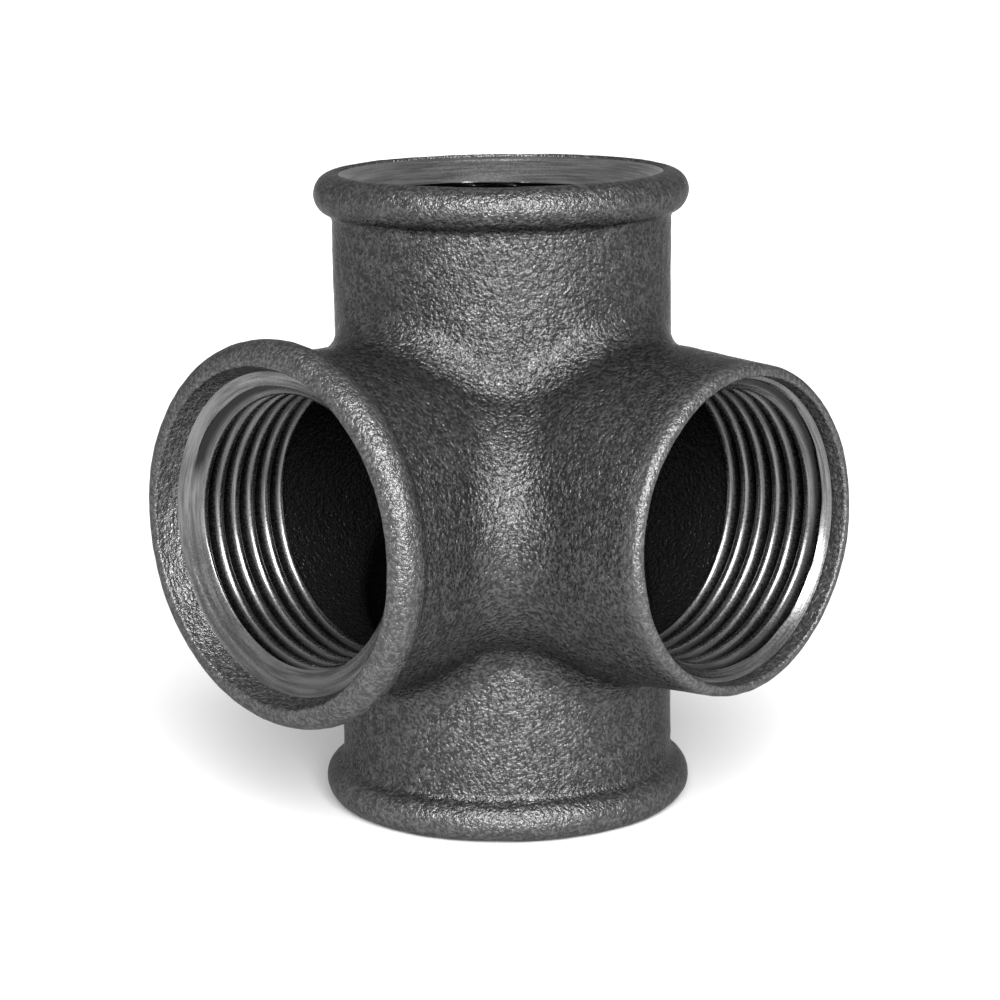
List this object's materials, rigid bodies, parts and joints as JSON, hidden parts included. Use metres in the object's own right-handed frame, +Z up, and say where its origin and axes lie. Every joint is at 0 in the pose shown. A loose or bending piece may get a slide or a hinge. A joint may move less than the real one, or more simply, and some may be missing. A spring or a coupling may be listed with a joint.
{
  "type": "four-way pipe fitting",
  "caption": "Black malleable iron pipe fitting: a straight upright run with side outlets at a right angle to each other, internally threaded, joining pipes into one open chamber.",
  "frame": {"origin": "on the plane of the bottom mouth's rim, under the middle of the fitting's footprint; the outlets' axes cross at (-7.75, 7.75, 37) mm", "axes": "+Z up along the run and out of the top mouth; +X out of the plain side outlet; -Y out of the beaded side outlet"},
  "size_m": [0.0584, 0.0584, 0.074],
  "materials": {
    "cast_skin": "black as-cast sand grain, lightly oiled",
    "machined_thread": "bare machined iron, fine turning lines"
  },
  "bodies": {
    "root": {"hub": "cast_skin", "top_socket": "cast_skin", "bottom_socket": "cast_skin", "left_socket": "cast_skin", "right_socket": "cast_skin"}
  },
  "joints": []
}
